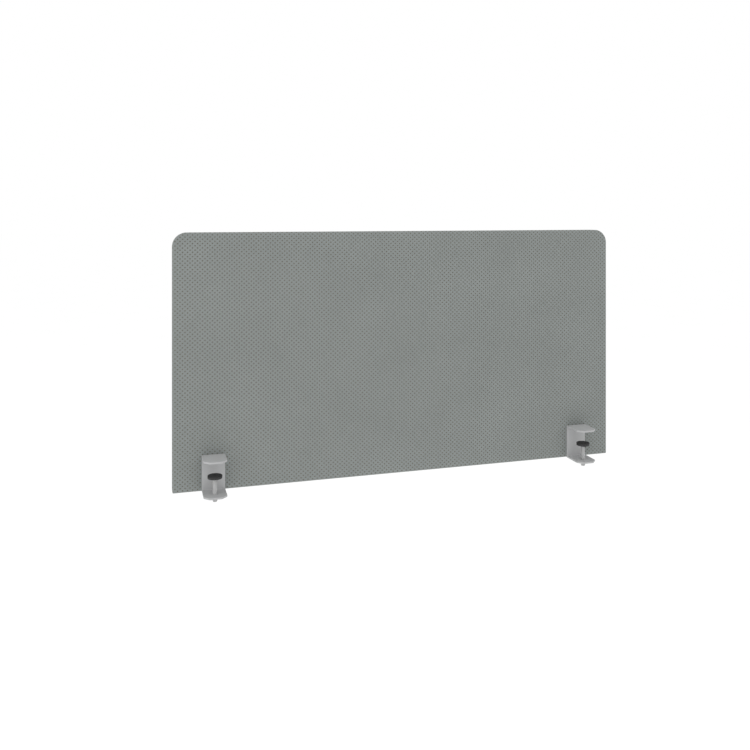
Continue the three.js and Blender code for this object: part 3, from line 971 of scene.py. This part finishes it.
def board_material():
    """Raw fibreboard: fine pressed fibres, a little paler and darker in clouds."""
    n = Nodes("board")
    place = n.place()
    fibres = n.noise(n.stretched(place, (1.0, 2.2, 1.0)), scale=1500.0, detail=4.0, roughness=0.7)
    cloudy = n.noise(place, scale=55.0, detail=3.0, roughness=0.6)
    colour = n.mix(n.weighted(fibres, 0.6, cloudy, 0.4), *FIBREBOARD)
    roughness = n.plus(0.75, n.times(fibres, 0.2))
    normal = n.bump(fibres, strength=0.35, distance=0.0001)
    return n.finish(colour, roughness, normal, Specular_IOR_Level=0.25)


def felt_material():
    """Needled white felt."""
    n = Nodes("padding")
    place = n.place()
    fibres = n.noise(n.stretched(place, (1.0, 1.0, 2.5)), scale=1100.0, detail=4.0, roughness=0.7)
    cloudy = n.noise(place, scale=60.0, detail=3.0)
    colour = n.mix(n.weighted(fibres, 0.6, cloudy, 0.4), *FELT)
    roughness = n.plus(0.88, n.times(fibres, 0.1))
    return n.finish(colour, roughness, n.bump(fibres, strength=0.5, distance=0.0002), Sheen_Weight=0.1)


def floor_material():
    """A plain white floor that glows a little, so that it meets the white background without a line."""
    n = Nodes("floor")
    speckle = n.noise(n.place(), scale=3.0)
    colour = n.mix(speckle, *FLOOR_WHITE)
    normal = n.bump(speckle, strength=0.02, distance=0.001)
    n.shader.inputs["Emission Color"].default_value = (1, 1, 1, 1)
    return n.finish(colour, 0.9, normal, Emission_Strength=0.09, Specular_IOR_Level=0.0)


# The object -----------------------------------------------------------------------------------------

materials = {
    "panel_fabric": fabric_material(),
    "bracket_paint": paint_material(),
    "screw_steel": steel_material("screw_steel", SCREW_ZINC, least_roughness=0.34, metallic=0.5),
    "pad_plastic": plastic_material("pad_plastic", PAD_BLACK, least_roughness=0.42, grain_scale=2600.0),
    "pad_rubber": plastic_material("pad_rubber", RUBBER_BLACK, least_roughness=0.66, grain_scale=1900.0),
    "spline_plastic": plastic_material("spline_plastic", WELT_GREY, least_roughness=0.5, grain_scale=2200.0),
    "board": board_material(),
    "padding": felt_material(),
}
fixing_steel = steel_material("fixing_steel", FIXING_ZINC, least_roughness=0.28, metallic=0.95)


def wear_finish(obj, slot, material=None):
    """Gives an object its slot, and the slot's material or another one."""
    obj.data.materials.clear()
    obj.data.materials.append(material or materials[slot])


def place_piece(obj, slot, body, node):
    """Sets a new piece in place of its CAD node. The sleeve nuts are of another steel than the screws."""
    wear_finish(obj, slot, fixing_steel if "sleeve" in node else None)
    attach(obj, body)
    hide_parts(node)


def keep_cad(node, slot):
    """Leaves a CAD node in view, with its slot's material."""
    wear_finish(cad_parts[node], slot)


passages = []
for side in SIDES:
    for level in LEVELS:
        stud = centre(f"{side}_{level}_stud")
        passages.append((stud.x, stud.z))

front = fabric_cover("front_fabric", passages)
rear = mirrored_cover("rear_fabric", front)
place_piece(front, "panel_fabric", "root", "front_cover")
place_piece(rear, "panel_fabric", "root", "rear_cover")

place_piece(edge_welt("welt"), "spline_plastic", "root", "edge_spline")
keep_cad("core_board", "board")
keep_cad("front_padding", "padding")
keep_cad("rear_padding", "padding")

for side in SIDES:
    parts = [
        (bent_bracket, "clamp_strip", "bracket", "bracket_paint", "root"),
        (weld_nut, "welded_nut", "weld_nut", "bracket_paint", "root"),
        (clamp_screw, "threaded_screw", "clamp_screw", "screw_steel", f"{side}_screw"),
        (pad_cup, "pad_cup", "pad_body", "pad_plastic", f"{side}_pad"),
        (pad_rubber, "pad_rubber", "pad_face", "pad_rubber", f"{side}_pad"),
    ]
    for level in LEVELS:
        parts.append((sleeve_nut, f"{level}_sleeve", f"{level}_sleeve_nut", "screw_steel", "root"))
        parts.append((rear_washer, f"{level}_ring", f"{level}_washer", "bracket_paint", "root"))
        keep_cad(f"{side}_{level}_stud", "screw_steel")
    for build, name, node, slot, body in parts:
        place_piece(build(f"{side}_{name}", f"{side}_{node}"), slot, body, f"{side}_{node}")


# Studio ---------------------------------------------------------------------------------------------

FLOOR_HEIGHT = -0.735  # a desk's height below the desktop
FLOOR_HALF_SIZE = 40
CAMERA_PLACE = (-0.49188, -1.45678, 0.42499)
CAMERA_TURN = 16.449  # degrees clockwise from +Y; the camera is level
CAMERA_LENS = 39.504  # mm, on a 36 mm sensor
CAMERA_SHIFT = -0.2163  # brings the object up to the middle of the level camera's view

floor_mesh = bpy.data.meshes.new("floor")
floor_bm = bmesh.new()
bmesh.ops.create_grid(floor_bm, x_segments=4, y_segments=4, size=FLOOR_HALF_SIZE)
floor_bm.to_mesh(floor_mesh)
floor_bm.free()
floor = new_object("floor", floor_mesh)
floor.location.z = FLOOR_HEIGHT
floor.data.materials.append(floor_material())

world = bpy.data.worlds.new("studio")
world.use_nodes = True
background = world.node_tree.nodes["Background"]
background.inputs["Color"].default_value = (1, 1, 1, 1)
background.inputs["Strength"].default_value = 1.0
bpy.context.scene.world = world
bpy.context.scene.view_settings.view_transform = "Standard"


def area_light(name, location, target, size, power):
    light = bpy.data.lights.new(name, "AREA")
    light.size = size
    light.energy = power
    obj = new_object(name, light)
    obj.location = location
    obj.rotation_euler = (Vector(target) - Vector(location)).to_track_quat("-Z", "Y").to_euler()


area_light("ceiling", location=(-0.25, -0.3, 2.3), target=(0, 0, 0.15), size=1.6, power=6.5)
area_light("left", location=(-2.5, -1.1, 0.9), target=(0, 0, 0.1), size=2.0, power=9.0)

camera = bpy.data.cameras.new("camera")
camera.sensor_width = 36
camera.lens = CAMERA_LENS
camera.shift_x = 0
camera.shift_y = CAMERA_SHIFT
camera.clip_end = 200
camera_object = new_object("camera", camera)
camera_object.location = CAMERA_PLACE
camera_object.rotation_euler = (math.pi / 2, 0, -math.radians(CAMERA_TURN))
bpy.context.scene.camera = camera_object
